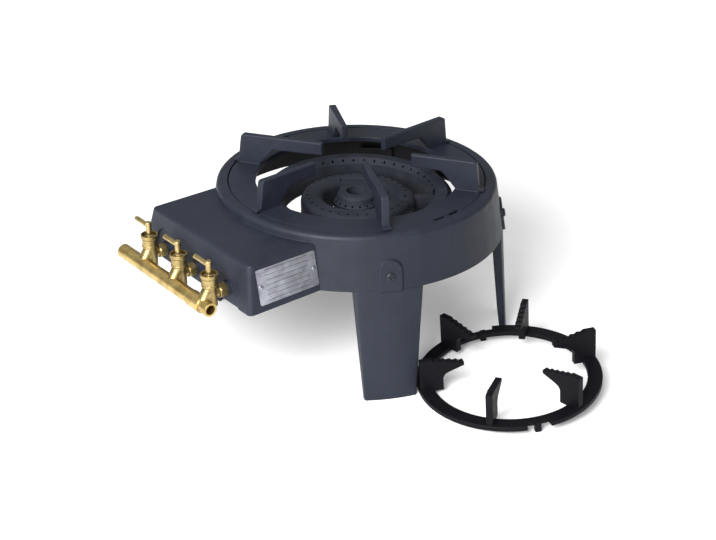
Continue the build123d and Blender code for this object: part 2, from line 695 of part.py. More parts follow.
def burner_body(outer_r, inner_r, z0, z1, round_r=0.0):
    """Outside of a hollow burner ring, with bevels or rounded corners where its flame ports are."""
    if round_r:
        section = make_face(Polyline((inner_r, z0), (outer_r, z0), (outer_r, z1), (inner_r, z1), close=True))
        section = fillet(section.vertices().group_by(Axis.Y)[-1], round_r)
        return revolve(Plane.XZ * section, Axis.Z)
    b = RING_BEVEL
    return revolved([
        (inner_r, z0),
        (outer_r, z0),
        (outer_r, z1 - b),
        (outer_r - b, z1),
        (inner_r + b, z1),
        (inner_r, z1 - b)])


def burner_cavity(outer_r, inner_r, z0, z1):
    t = BURNER_WALL
    b = RING_BEVEL
    return revolved([
        (inner_r + t, z0 + t),
        (outer_r - t, z0 + t),
        (outer_r - t, z1 - b - t / 2),
        (outer_r - b - t / 2, z1 - t),
        (inner_r + b + t / 2, z1 - t),
        (inner_r + t, z1 - b - t / 2)])


def mixing_tube(x, end_y, grow):
    """Straight tube along +Y with a bell mouth; grow 0 is the outside, 1 the bore."""
    r = TUBE_BORE_R if grow else TUBE_R
    bell = BELL_R - (TUBE_R - TUBE_BORE_R if grow else 0)
    start = BELL_MOUTH_Y - (1 if grow else 0)
    profile = make_face(Polyline(
        (0, start),
        (bell, start),
        (bell, BELL_MOUTH_Y + 3),
        (r, BELL_MOUTH_Y + BELL_LENGTH),
        (r, end_y),
        (0, end_y),
        close=True))
    return Pos(x, 0, GAS_Z) * revolve(profile, Axis.Y)


def passing_arch(x, radius):
    """Space under a ring for a tube that passes it, open at the bottom."""
    space = rod((x, -300, GAS_Z), (x, 0, GAS_Z), radius)
    return space + block(x - radius, x + radius, -300, 0, GAS_Z - 60, GAS_Z)


def arm(angle, inner_r, outer_r, width, thick):
    """Level bridge from one burner ring to the next."""
    return turned(block(inner_r, outer_r, -width / 2, width / 2, ARM_TOP_Z - thick, ARM_TOP_Z), angle)


def arm_pocket(angle, inner_r, outer_r, width, thick):
    """Pocket that an arm lies in, open at the top."""
    half = width / 2 + ARM_CLEARANCE
    return turned(block(inner_r, outer_r + ARM_CLEARANCE, -half, half, ARM_TOP_Z - thick, FAR), angle)


def arm_wall(angle, outer_r, width):
    """Metal left round an arm's pocket."""
    half = width / 2 + BURNER_WALL
    return turned(block(0, outer_r + BURNER_WALL, -half, half, 0, FAR), angle)


def half_space_front():
    return block(-FAR, FAR, -FAR, 0, 0, FAR)


def outer_ring_size():
    return (OUTER_RING_OUTER_R, OUTER_RING_INNER_R, OUTER_RING_BOTTOM_Z, OUTER_RING_TOP_Z)


def middle_ring_size():
    return (MIDDLE_RING_OUTER_R, MIDDLE_RING_INNER_R, MIDDLE_RING_BOTTOM_Z, MIDDLE_RING_TOP_Z)


def tube_end_y(name):
    """Where each mixing tube's bore ends, inside the ring that it feeds."""
    if name == "left":
        mid_r = (OUTER_RING_OUTER_R + OUTER_RING_INNER_R) / 2
        return -sqrt(mid_r ** 2 - TAP_X["left"] ** 2)
    if name == "right":
        return -8.0
    return -(HUB_GAS_R + HUB_R) / 2


def make_mixing_tube(name):
    """Tube from a tap's injector to its ring; it ends flush on the ring's outside."""
    x = TAP_X[name]
    end_y = tube_end_y(name)
    tube = mixing_tube(x, end_y, 0)
    if name == "left":
        tube -= burner_body(*outer_ring_size())
    elif name == "right":
        tube -= burner_body(*middle_ring_size(), MIDDLE_RING_ROUND)
    else:
        tube -= revolved([(0, HUB_BOTTOM_Z), (HUB_R, HUB_BOTTOM_Z), (HUB_R, HUB_SHOULDER_Z), (0, HUB_SHOULDER_Z)])
    tube -= mixing_tube(x, end_y - BURNER_WALL, 1)
    return tube.solids().sort_by(SortBy.VOLUME)[-1]


def make_outer_ring():
    """Solid inside but for the end of its mixing tube's bore, which nothing shows."""
    outer_r = OUTER_RING_INNER_R + ARM_SEAT
    ring = burner_body(*outer_ring_size()) - mixing_tube(TAP_X["left"], tube_end_y("left"), 1)
    for name in ("middle", "right"):
        ring -= passing_arch(TAP_X[name], TUBE_R + TUBE_CLEARANCE) & half_space_front()
    ring -= arm_pocket(OUTER_ARM_ANGLE, DOME_CENTRE_R, outer_r, OUTER_ARM_WIDTH, OUTER_ARM_THICK)
    for angle in EAR_ANGLES:
        ring -= turned(burner_screw_hole(), angle)
    return ring


def make_middle_ring():
    outer_r = MIDDLE_RING_INNER_R + ARM_SEAT
    body = burner_body(*middle_ring_size(), MIDDLE_RING_ROUND) + turned(riser_dome(), OUTER_ARM_ANGLE)
    cavity = burner_cavity(*middle_ring_size())
    cavity -= passing_arch(0, TUBE_R + TUBE_CLEARANCE + BURNER_WALL) & half_space_front()
    cavity -= arm_wall(INNER_ARM_ANGLE, outer_r, INNER_ARM_WIDTH)
    cavity += mixing_tube(TAP_X["right"], tube_end_y("right") - BURNER_WALL, 1)
    ring = body - cavity
    ring += arm(OUTER_ARM_ANGLE, MIDDLE_RING_OUTER_R - BURNER_WALL, OUTER_RING_INNER_R + ARM_SEAT,
                OUTER_ARM_WIDTH, OUTER_ARM_THICK)
    ring -= passing_arch(0, TUBE_R + TUBE_CLEARANCE) & half_space_front()
    return ring - arm_pocket(INNER_ARM_ANGLE, HUB_HOLE_R, outer_r, INNER_ARM_WIDTH, INNER_ARM_THICK)


def riser_dome():
    """Rounded swelling on the middle ring over its gas riser, long along the ring."""
    dome = scale(Sphere(DOME_R), by=(1.0, DOME_STRETCH, 1.0))
    return Pos(DOME_CENTRE_R, 0, MIDDLE_RING_TOP_Z + DOME_RISE - DOME_R) * dome


def make_inner_ring():
    hub = revolved([
        (HUB_HOLE_R, HUB_BOTTOM_Z),
        (HUB_R, HUB_BOTTOM_Z),
        (HUB_R, HUB_SHOULDER_Z),
        (HUB_R - 2.0, HUB_SHOULDER_Z + 2.5),
        (HUB_COLLAR_R, HUB_COLLAR_Z),
        (HUB_COLLAR_R - 1.0, HUB_TOP_Z - 4.0),
        (HUB_COLLAR_R - 4.5, HUB_TOP_Z - 1.0),
        (HUB_HOLE_R, HUB_TOP_Z)])
    hub += arm(INNER_ARM_ANGLE, INNER_ARM_START_R, MIDDLE_RING_INNER_R + ARM_SEAT, INNER_ARM_WIDTH, INNER_ARM_THICK)
    cavity = ring_band(HUB_R - BURNER_WALL, HUB_GAS_R, HUB_BOTTOM_Z + BURNER_WALL, HUB_CAVITY_TOP_Z)
    cavity += mixing_tube(0, tube_end_y("middle"), 1)
    return hub - cavity


def burner_screw():
    r = burner_screw_r()
    under = OUTER_RING_BOTTOM_Z - EAR_THICK
    screw = rod((r, 0, under - 0.5), (r, 0, OUTER_RING_BOTTOM_Z + BURNER_SCREW_REACH), BURNER_SCREW_R)
    return screw + hexagon_prism((r, 0, under - BURNER_SCREW_HEAD_THICK), (r, 0, under), BURNER_SCREW_HEAD_R * sqrt(3))


# ---------------------------------------------------------------- taps and manifold

def upright_revolve(x, points):
    """Solid of revolution about a tap's own upright axis."""
    profile = make_face(Polyline(*points, close=True))
    return Pos(x, TAP_Y, 0) * revolve(Plane.XZ * profile, Axis.Z)


def cup_floor_z():
    return BARREL_TOP_Z - CUP_DEPTH


def plug_bottom_z():
    return BARREL_BOTTOM_Z + BARREL_FLOOR


def gas_way(x, radius, start=0.0):
    """Sloping way from the manifold's axis up to a tap's axis."""
    rise = SADDLE_RISE
    run = TAP_Y - PIPE_Y
    foot = (x, PIPE_Y + run * start, PIPE_Z + rise * start)
    return rod(foot, (x, TAP_Y, PIPE_Z + rise), radius)


def along_pipe(x0, x1, radius):
    """Round bar on the manifold's axis."""
    return rod((x0, PIPE_Y, PIPE_Z), (x1, PIPE_Y, PIPE_Z), radius)


def inlet_outside():
    sleeve = along_pipe(INLET_SLEEVE_X, INLET_SLEEVE_END_X, INLET_SLEEVE_R)
    sleeve = chamfer(sleeve.edges().filter_by(GeomType.CIRCLE), INLET_SLEEVE_CHAMFER)
    return sleeve + along_pipe(PIPE_RIGHT_X, INLET_END_X, INLET_STUB_R)


def spigot_way(x):
    """Space of the saddle's spigot in the wall of the pipe or of the inlet."""
    return gas_way(x, SPIGOT_R, SPIGOT_START)


def tap_body(name):
    x = TAP_X[name]
    bead = BARREL_BEAD_HEIGHT / 2
    body = upright_revolve(x, [
        (0, BARREL_BOTTOM_Z),
        (BARREL_LOWER_R, BARREL_BOTTOM_Z),
        (BARREL_LOWER_R, BARREL_BEAD_Z - bead - 0.6),
        (BARREL_BEAD_R, BARREL_BEAD_Z - bead),
        (BARREL_BEAD_R, BARREL_BEAD_Z + bead),
        (BARREL_R, BARREL_BEAD_Z + bead + 0.6),
        (BARREL_R, BARREL_TOP_Z - BARREL_RIM_HEIGHT - 2),
        (BARREL_RIM_R, BARREL_TOP_Z - BARREL_RIM_HEIGHT),
        (BARREL_RIM_R, BARREL_TOP_Z),
        (0, BARREL_TOP_Z)])
    body += gas_way(x, SADDLE_R)
    body -= along_pipe(PIPE_LEFT_X, PIPE_RIGHT_X, PIPE_R)
    body -= inlet_outside()
    body += spigot_way(x)
    body += rod((x, TAP_Y, GAS_Z), (x, TAP_SEAT_Y - NUT_LENGTH, GAS_Z), SPOUT_R)
    body += rod((x, TAP_Y, GAS_Z), (x, injector_end_y() - 6.0, GAS_Z), SPOUT_THREAD_R)
    body -= upright_revolve(x, [
        (0, plug_bottom_z() - END_CLEARANCE),
        (PLUG_R - PLUG_TAPER + RUNNING_CLEARANCE, plug_bottom_z() - END_CLEARANCE),
        (PLUG_R - PLUG_TAPER + RUNNING_CLEARANCE, plug_bottom_z()),
        (PLUG_R + RUNNING_CLEARANCE, cup_floor_z() - END_CLEARANCE),
        (PLUG_R + RUNNING_CLEARANCE, cup_floor_z()),
        (CUP_R, cup_floor_z()),
        (CUP_R, BARREL_TOP_Z + 1),
        (0, BARREL_TOP_Z + 1)])
    body -= rod((x, TAP_Y, GAS_Z), (x, injector_end_y(), GAS_Z), SPOUT_BORE_R)
    body -= gas_way(x, PLUG_WAY_R)
    return body - rod((x, TAP_Y, STOP_SCREW_Z), (x - 30, TAP_Y, STOP_SCREW_Z), STOP_SCREW_R)


def tap_plug(name):
    """Turning plug with its stem, cross way and the quarter groove of the stop screw."""
    x = TAP_X[name]
    under_gland = cup_floor_z() - END_CLEARANCE
    over_gland = cup_floor_z() + GLAND_THICK + END_CLEARANCE
    plug = upright_revolve(x, [
        (0, plug_bottom_z()),
        (PLUG_R - PLUG_TAPER, plug_bottom_z()),
        (PLUG_R, under_gland),
        (STEM_R, under_gland),
        (STEM_R, over_gland),
        (STEM_COLLAR_R, over_gland),
        (STEM_COLLAR_R, over_gland + STEM_COLLAR_HEIGHT - 0.8),
        (STEM_R, over_gland + STEM_COLLAR_HEIGHT),
        (STEM_R, STEM_TOP_Z - 0.6),
        (STEM_R - 0.6, STEM_TOP_Z),
        (0, STEM_TOP_Z)])
    plug -= rod((x - 20, TAP_Y, GAS_Z), (x + 20, TAP_Y, GAS_Z), PLUG_WAY_R)
    plug -= stop_groove(x)
    return plug - lever_spigot(x)


def stop_groove(x):
    """Part-turn groove whose two ends meet the stop screw at the limits of travel."""
    half = STOP_SCREW_R + END_CLEARANCE
    inner = PLUG_R - STOP_GROOVE_DEPTH
    end = degrees(atan2(half, inner))
    section = Pos((inner + PLUG_R + 1) / 2, STOP_SCREW_Z) * Rectangle(PLUG_R + 1 - inner, 2 * half)
    groove = revolve(Plane.XZ * section, Axis.Z, TAP_TURN + 2 * end)
    return Pos(x, TAP_Y, 0) * turned(groove, 180 - TAP_TURN - end)


def lever_spigot(x):
    return rod((x - STEM_R - 1, TAP_Y, LEVER_Z), (x - STEM_R + LEVER_SPIGOT_DEPTH, TAP_Y, LEVER_Z), LEVER_SPIGOT_R)


def tap_lever(name):
    x = TAP_X[name]
    tip = x - LEVER_REACH
    handle = rod((x, TAP_Y, LEVER_Z), (tip, TAP_Y, LEVER_Z), LEVER_R)
    handle = chamfer(handle.faces().sort_by(Axis.X)[0].edges(), 0.5)
    handle -= Pos(x, TAP_Y, LEVER_Z) * Cylinder(STEM_R, 4 * LEVER_R)
    half = LEVER_SLOT_WIDTH / 2
    handle -= block(tip - 1, tip + LEVER_SLOT_DEPTH, TAP_Y - half, TAP_Y + half, LEVER_Z - 10, LEVER_Z + 10)
    return handle + lever_spigot(x)


def tap_gland(name):
    floor = cup_floor_z()
    inner = STEM_R + RUNNING_CLEARANCE
    return upright_revolve(TAP_X[name], [
        (inner, floor),
        (CUP_R, floor),
        (CUP_R, floor + GLAND_THICK - 1),
        (CUP_R - 1, floor + GLAND_THICK),
        (inner, floor + GLAND_THICK)])


def stop_screw(name):
    x = TAP_X[name]
    seat = x - sqrt(BARREL_R ** 2 - STOP_SCREW_HEAD_R ** 2)
    tip = x - PLUG_R + STOP_GROOVE_DEPTH - END_CLEARANCE
    outer = x - BARREL_R - STOP_SCREW_HEAD_THICK
    screw = rod((outer, TAP_Y, STOP_SCREW_Z), (tip, TAP_Y, STOP_SCREW_Z), STOP_SCREW_R)
    head = rod((outer, TAP_Y, STOP_SCREW_Z), (seat, TAP_Y, STOP_SCREW_Z), STOP_SCREW_HEAD_R)
    head -= Pos(x, TAP_Y, STOP_SCREW_Z) * Cylinder(BARREL_R, 20)
    screw += head
    slot = block(outer - 1, outer + 0.7, TAP_Y - 3, TAP_Y + 3, STOP_SCREW_Z - 0.4, STOP_SCREW_Z + 0.4)
    return screw - slot


def injector_end_y():
    return NOSE_FRONT_BACK_Y + INJECTOR_LENGTH


def outlet_nut(name):
    """Hexagon nut that clamps a tap's spout against a boss of the nose's front wall."""
    front = (TAP_X[name], TAP_SEAT_Y - NUT_LENGTH, GAS_Z)
    seat = (TAP_X[name], TAP_SEAT_Y, GAS_Z)
    envelope = chamfer(rod(front, seat, NUT_FLATS / sqrt(3)).edges().filter_by(GeomType.CIRCLE), NUT_CHAMFER)
    return (hexagon_prism(front, seat, NUT_FLATS) & envelope) - rod(front, seat, SPOUT_THREAD_R)


def injector(name):
    """Injector screwed on a spout behind the front wall; its jet faces the mixing tube."""
    x = TAP_X[name]
    back = NOSE_FRONT_BACK_Y
    end = injector_end_y()
    body = hexagon_prism((x, back, GAS_Z), (x, back + INJECTOR_LENGTH * 0.5, GAS_Z), INJECTOR_FLATS)
    nozzle = make_face(Polyline(
        (0, back + 1),
        (INJECTOR_FLATS / 2 - 0.3, back + 1),
        (INJECTOR_FLATS / 2 - 0.3, back + INJECTOR_LENGTH * 0.55),
        (INJECTOR_TIP_R, end),
        (0, end),
        close=True))
    body += Pos(x, 0, GAS_Z) * revolve(nozzle, Axis.Y)
    body -= rod((x, back - 1, GAS_Z), (x, end - 6.0, GAS_Z), SPOUT_THREAD_R)
    return body - rod((x, back, GAS_Z), (x, end + 1, GAS_Z), JET_R)


def make_manifold():
    pipe = along_pipe(PIPE_LEFT_X, PIPE_RIGHT_X, PIPE_R)
    pipe = chamfer(pipe.faces().sort_by(Axis.X)[0].edges(), 0.8)
    pipe -= along_pipe(PIPE_LEFT_X + PIPE_CAP, PIPE_RIGHT_X + 1, PIPE_R - PIPE_WALL)
    for name in ("left", "middle"):
        pipe -= spigot_way(TAP_X[name])
        pipe -= gas_way(TAP_X[name], PLUG_WAY_R)
    return pipe


def make_inlet():
    """Inlet socket: a sleeve over the pipe's end, and a stub with a threaded bore for the gas hose."""
    fitting = inlet_outside()
    fitting -= along_pipe(INLET_SLEEVE_X - 1, PIPE_RIGHT_X, PIPE_R)
    fitting -= along_pipe(PIPE_RIGHT_X - 1, INLET_END_X, INLET_BORE_R - 1.5)
    fitting -= along_pipe(INLET_END_X - INLET_BORE_DEPTH, INLET_END_X + 1, INLET_BORE_R)
    fitting -= spigot_way(TAP_X["right"])
    return fitting - gas_way(TAP_X["right"], PLUG_WAY_R)


# ---------------------------------------------------------------- data plate

def nose_side_plane(y, z):
    """Plane on the nose's drafted +X wall, with local x along +Y and local z outwards."""
    half = NOSE_TOP_HALF_WIDTH + (NOSE_TOP_Z - z) * tan(radians(NOSE_SIDE_DRAFT))
    lean = radians(NOSE_SIDE_DRAFT)
    return Plane(origin=(half, y, z), x_dir=(0, 1, 0), z_dir=(cos(lean), 0, sin(lean)))


def rivet_places():
    reach = PLATE_LENGTH / 2 - RIVET_INSET
    return (PLATE_CENTRE_Y - reach, PLATE_CENTRE_Y + reach)


def rivet(y, clearance=0.0):
    """Dome-headed rivet through the plate; with a clearance, the hole that it goes into."""
    plane = nose_side_plane(y, PLATE_CENTRE_Z)
    shank = Pos(0, 0, (PLATE_THICK - RIVET_DEPTH) / 2) * Cylinder(RIVET_R, PLATE_THICK + RIVET_DEPTH)
    if clearance:
        return plane * Pos(0, 0, -RIVET_DEPTH / 2) * Cylinder(RIVET_R + clearance, RIVET_DEPTH + 1)
    dome_r = (RIVET_HEAD_R ** 2 + RIVET_HEAD ** 2) / (2 * RIVET_HEAD)
    dome = Pos(0, 0, PLATE_THICK + RIVET_HEAD - dome_r) * Sphere(dome_r)
    dome &= Pos(0, 0, PLATE_THICK + RIVET_HEAD) * Cylinder(RIVET_HEAD_R, 2 * RIVET_HEAD)
    return plane * (shank + dome)


def make_plate():
    plate = Rectangle(PLATE_LENGTH, PLATE_HEIGHT)
    plate = fillet(plate.vertices(), 2.5)
    plane = nose_side_plane(PLATE_CENTRE_Y, PLATE_CENTRE_Z)
    plate = extrude(plane * plate, PLATE_THICK)
    for y in rivet_places():
        hole = nose_side_plane(y, PLATE_CENTRE_Z) * Cylinder(RIVET_R, 4 * PLATE_THICK)
        plate -= hole
    return plate


# ---------------------------------------------------------------- write the parts

def together(shapes):
    return Compound(children=[solid for shape in shapes for solid in shape.solids()])


def main():
    angles = LEG_ANGLES.values()
    save(make_casing(), "body_casting")
    for name, angle in LEG_ANGLES.items():
        save(make_leg(angle), "leg_" + name)
    save(together(leg_screw(a) for a in angles), "leg_screws")
    save(together(leg_nut(a) for a in angles), "leg_nuts")
    save(make_pot_ring(), "pot_ring")
    save(lay_small_ring(make_small_ring()), "small_pot_ring")
    save(make_outer_ring(), "burner_outer_ring")
    save(make_middle_ring(), "burner_middle_ring")
    save(make_inner_ring(), "burner_inner_ring")
    for name in TAP_NAMES:
        save(make_mixing_tube(name), "mixing_tube_" + name)
    save(together(turned(burner_screw(), a) for a in EAR_ANGLES), "burner_screws")
    save(make_manifold(), "manifold_pipe")
    save(make_inlet(), "inlet_fitting")
    for name in TAP_NAMES:
        save(tap_body(name), "tap_body_" + name)
        save(tap_plug(name), "tap_plug_" + name)
        save(tap_lever(name), "tap_lever_" + name)
    save(together(tap_gland(n) for n in TAP_NAMES), "tap_glands")
    save(together(stop_screw(n) for n in TAP_NAMES), "stop_screws")
    save(together(outlet_nut(n) for n in TAP_NAMES), "outlet_nuts")
    save(together(injector(n) for n in TAP_NAMES), "injectors")
    save(make_plate(), "data_plate")
    save(together(rivet(y) for y in rivet_places()), "plate_rivets")


if __name__ == "__main__":
    main()
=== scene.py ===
import math

import bpy
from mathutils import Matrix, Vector

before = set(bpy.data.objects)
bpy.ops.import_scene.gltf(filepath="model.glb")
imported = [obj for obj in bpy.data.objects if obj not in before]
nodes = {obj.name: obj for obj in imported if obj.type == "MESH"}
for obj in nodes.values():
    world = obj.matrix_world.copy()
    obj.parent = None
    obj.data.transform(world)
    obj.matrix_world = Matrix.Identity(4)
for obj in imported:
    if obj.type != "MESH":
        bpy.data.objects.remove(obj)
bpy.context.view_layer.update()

# ---------------------------------------------------------------- places in the frame, in metres

DRUM_BOTTOM = 0.1625
DRUM_BOTTOM_LAP = 0.0005        # takes the bottom edge itself into the painted shade of the drum's inner side
WALL_MIDDLE_R = 0.209           # halfway through the drum's wall at its bottom edge
WALL_SLOPE = 0.173              # how much that radius shrinks for each metre of height
SEAT_Z = 0.2285                 # the pot ring's seat in the drum
BURNER_SHADE_Z = (0.178, 0.203)         # the burner's painted shade is full at the first height and gone at the second
PORT_ROWS = ((0.0710, 33), (0.1122, 44), (0.0305, 18))      # radius and number of flame ports
PORT_RADIUS = 0.0016
# the plate's painted reflection fades from the first to the second
PORT_MIN_Z = 0.1975             # flame ports are marked above this height only
PLATE_SHEEN_FADE_Y = (-0.262, -0.205)
PLATE_LINE_STEP = 0.0065        # between the plate's plain ruled lines
PLATE_LINES_Y = (-0.250, -0.182)
FLOOR_SIZE = 60.0
FLOOR_GLOW_R = (0.5, 1.8)

# ---------------------------------------------------------------- shares and tones

INSIDE_SHADE_LOSS = 0.90              # share of the paint's tone that the drum's inner side loses to painted shade
# tone left where the burner's painted shade is full
BURNER_SHADE_TONE = 0.12
PORT_CORE = 0.8                 # share of a port's radius that is fully dark with painted shade
PORT_SHADE_COLOUR = (0.0008, 0.0008, 0.0010)
WHOLE_STEPS = 40.0              # keeps the ports' step count above zero and moves no port
PLATE_SHEEN_FADE_TONE = 0.55
PLATE_LINE_SHARE = 0.13         # of the step between two lines
PLATE_LINE_TONE = 0.45
FLOOR_GLOW = (0.12, 0.80)       # emission at the first and the second FLOOR_GLOW_R
BEVEL_SAMPLES = 6

# ---------------------------------------------------------------- node helpers

class Shader:
    """A small wrapper that adds nodes to one material and links them."""

    def __init__(self, name):
        self.material = bpy.data.materials.new(name)
        self.material.use_nodes = True
        self.tree = self.material.node_tree
        self.tree.nodes.clear()
        self.out = self.node("ShaderNodeOutputMaterial")
        self.bsdf = self.node("ShaderNodeBsdfPrincipled")
        self.link(self.bsdf.outputs["BSDF"], self.out.inputs["Surface"])
        self.coords = self.node("ShaderNodeTexCoord").outputs["Object"]

    def node(self, kind, **settings):
        n = self.tree.nodes.new(kind)
        for key, value in settings.items():
            setattr(n, key, value)
        return n

    def link(self, a, b):
        self.tree.links.new(a, b)

    def feed(self, socket, value):
        """Sets a number or a colour on the socket, or links another node's output to it."""
        if isinstance(value, (int, float)):
            socket.default_value = value
        elif isinstance(value, tuple):
            socket.default_value = (*value, 1.0)
        else:
            self.link(value, socket)

    def stretched(self, scale):
        m = self.node("ShaderNodeMapping")
        m.inputs["Scale"].default_value = scale
        self.link(self.coords, m.inputs["Vector"])
        return m.outputs["Vector"]

    def noise(self, scale, detail=4.0, rough=0.55, vector=None, distortion=0.0):
        n = self.node("ShaderNodeTexNoise")
        n.inputs["Scale"].default_value = scale
        n.inputs["Detail"].default_value = detail
        n.inputs["Roughness"].default_value = rough
        n.inputs["Distortion"].default_value = distortion
        self.link(vector or self.coords, n.inputs["Vector"])
        return n.outputs["Fac"]

    def ramp(self, factor, stops):
        n = self.node("ShaderNodeValToRGB")
        elements = n.color_ramp.elements
        while len(elements) < len(stops):
            elements.new(0.5)
        for element, (place, colour) in zip(elements, stops):
            element.position = place
            element.color = (*colour, 1.0)
        self.link(factor, n.inputs["Fac"])
        return n.outputs["Color"]

    def ranged(self, value, low, high, from_low=0.0, from_high=1.0):
        n = self.node("ShaderNodeMapRange")
        n.inputs["From Min"].default_value = from_low
        n.inputs["From Max"].default_value = from_high
        n.inputs["To Min"].default_value = low
        n.inputs["To Max"].default_value = high
        self.link(value, n.inputs["Value"])
        return n.outputs["Result"]

    def math(self, operation, a, b=0.0):
        n = self.node("ShaderNodeMath", operation=operation)
        for socket, value in zip(n.inputs, (a, b)):
            self.feed(socket, value)
        return n.outputs["Value"]

    def weighted(self, share, a, b):
        """The share of a and the rest of b."""
        part = self.math("MULTIPLY", a, share)
        return self.math("ADD", part, self.math("MULTIPLY", b, 1.0 - share))

    def both(self, a, b):
        """The product, which is one only where both are."""
        return self.math("MULTIPLY", a, b)

    def length(self, a, b):
        squares = [self.math("MULTIPLY", side, side) for side in (a, b)]
        return self.math("SQRT", self.math("ADD", *squares))

    def mix(self, factor, a, b):
        n = self.node("ShaderNodeMix", data_type="RGBA")
        for name, kind, value in (("Factor", "VALUE", factor), ("A", "RGBA", a), ("B", "RGBA", b)):
            self.feed(next(s for s in n.inputs if s.name == name and s.type == kind), value)
        return next(s for s in n.outputs if s.type == "RGBA")

    def bump(self, height, strength, distance, normal=None):
        n = self.node("ShaderNodeBump")
        n.inputs["Strength"].default_value = strength
        n.inputs["Distance"].default_value = distance
        self.link(height, n.inputs["Height"])
        if normal:
            self.link(normal, n.inputs["Normal"])
        return n.outputs["Normal"]

    def axes(self):
        """The x, y and z of a place in the shared frame, in metres."""
        n = self.node("ShaderNodeSeparateXYZ")
        self.link(self.coords, n.inputs["Vector"])
        return n.outputs["X"], n.outputs["Y"], n.outputs["Z"]

    def axis_distance(self):
        """Distance from the burner's axis."""
        return self.length(*self.axes()[:2])

    def scaled(self, colour, factor):
        """The colour, darkened where the factor is under one."""
        return self.mix(factor, (0.0, 0.0, 0.0), colour)

    def rounded(self, radius):
        n = self.node("ShaderNodeBevel", samples=BEVEL_SAMPLES)
        n.inputs["Radius"].default_value = radius
        return n.outputs["Normal"]

    def finish(self, colour, roughness, normal, metallic=0.0, specular=0.5):
        self.link(colour, self.bsdf.inputs["Base Color"])
        self.feed(self.bsdf.inputs["Roughness"], roughness)
        self.bsdf.inputs["Metallic"].default_value = metallic
        self.bsdf.inputs["Specular IOR Level"].default_value = specular
        self.link(normal, self.bsdf.inputs["Normal"])
        return self.material


def toned(colour, factor):
    return tuple(min(1.0, channel * factor) for channel in colour)


# ---------------------------------------------------------------- masks

def painted_inside_shade(s):
    """One on outer surfaces, low on the drum's inner side below the seat: painted shade for the
    dark inside of the drum.
    """
    z = s.axes()[2]
    lean = s.math("MULTIPLY", s.math("SUBTRACT", z, DRUM_BOTTOM), WALL_SLOPE)
    inner = s.math("LESS_THAN", s.math("ADD", s.axis_distance(), lean), WALL_MIDDLE_R)
    level = s.both(
        s.math("LESS_THAN", z, SEAT_Z),
        s.math("GREATER_THAN", z, DRUM_BOTTOM - DRUM_BOTTOM_LAP))
    return s.math("SUBTRACT", 1.0, s.math("MULTIPLY", s.both(inner, level), INSIDE_SHADE_LOSS))


def painted_burner_shade(s):
    """Low down between the burner rings the iron is darkened: painted shade for the deep gaps."""
    return s.ranged(s.axes()[2], BURNER_SHADE_TONE, 1.0, *BURNER_SHADE_Z)


def flame_ports(s):
    """One inside the round flame ports of the three burner rings, where their painted shade goes,
    zero elsewhere.
    """
    x, y, z = s.axes()
    distance = s.axis_distance()
    turn = s.math("DIVIDE", s.math("ARCTAN2", y, x), 2 * math.pi)
    total = s.math("MULTIPLY", distance, 0.0)
    for radius, count in PORT_ROWS:
        steps = s.math("ADD", s.math("MULTIPLY", turn, count), WHOLE_STEPS)
        off_centre = s.math("SUBTRACT", s.math("FRACT", steps), 0.5)
        along = s.math("MULTIPLY", off_centre, 2 * math.pi * radius / count)
        across = s.math("SUBTRACT", distance, radius)
        port = s.ranged(s.length(along, across), 1.0, 0.0, PORT_RADIUS * PORT_CORE, PORT_RADIUS)
        total = s.math("MAXIMUM", total, port)
    return s.both(total, s.math("GREATER_THAN", z, PORT_MIN_Z))


# ---------------------------------------------------------------- materials

def cast_iron(name, dark, light, rough, grain, waves, edge_radius, specular,
              shade=None, ports=False):
    """Painted or bare sand-cast iron: slow tone changes, fine sand grain, shallow waves."""
    s = Shader(name)
    slow = s.noise(7.0, detail=5.0, rough=0.6)
    patches = s.noise(55.0, detail=4.0, rough=0.6)
    speck = s.noise(850.0, detail=3.0, rough=0.6)
    colour = s.ramp(s.weighted(0.65, slow, patches), [(0.38, dark), (0.62, light)])
    speck_share = s.ranged(speck, 0.0, 0.25, from_low=0.55, from_high=0.78)
    colour = s.mix(speck_share, colour, toned(light, 1.6))
    # painted shade: the colour is darkened where the shade mask is under one
    if shade:
        colour = s.scaled(colour, shade(s))
    roughness = s.ranged(patches, *rough, from_low=0.3, from_high=0.7)
    normal = s.rounded(edge_radius)
    if ports:
        holes = flame_ports(s)
        # painted shade: the ports are coloured near black and lose their gloss, standing in for the
        # dark inside of the holes
        colour = s.mix(holes, colour, PORT_SHADE_COLOUR)
        s.link(s.ranged(holes, specular, 0.0), s.bsdf.inputs["Specular IOR Level"])
        solid = s.math("SUBTRACT", 1.0, holes)
        normal = s.bump(solid, strength=0.8, distance=0.0015, normal=normal)
    wave_height = s.noise(45.0, detail=3.0, rough=0.5)
    normal = s.bump(wave_height, strength=waves, distance=0.0010, normal=normal)
    grain_height = s.noise(420.0, detail=4.0, rough=0.65)
    normal = s.bump(grain_height, strength=grain, distance=0.00045, normal=normal)
    return s.finish(colour, roughness, normal, specular=specular)


def brass(name, light, dark, scratch, stretch=(1.0, 1.0, 1.0)):
    """Brass: tone and tarnish patches, and tool marks drawn out along one direction."""
    s = Shader(name)
    tarnish = s.noise(55.0, detail=5.0, rough=0.6, distortion=0.4)
    fine = s.noise(380.0, detail=3.0, rough=0.6)
    colour = s.ramp(tarnish, [(0.32, dark), (0.55, light), (0.8, toned(light, 1.12))])
    fine_share = s.ranged(fine, 0.0, 0.30, from_low=0.55, from_high=0.78)
    colour = s.mix(fine_share, colour, toned(dark, 0.8))
    roughness = s.ranged(fine, 0.30, 0.48, from_low=0.3, from_high=0.7)
    marks = s.noise(1.0, detail=2.0, rough=0.5, vector=s.stretched(stretch))
    normal = s.bump(marks, strength=scratch, distance=0.00015, normal=s.rounded(0.0005))
    dents = s.noise(230.0, detail=4.0, rough=0.55)
    normal = s.bump(dents, strength=0.30, distance=0.00025, normal=normal)
    return s.finish(colour, roughness, normal, metallic=1.0)


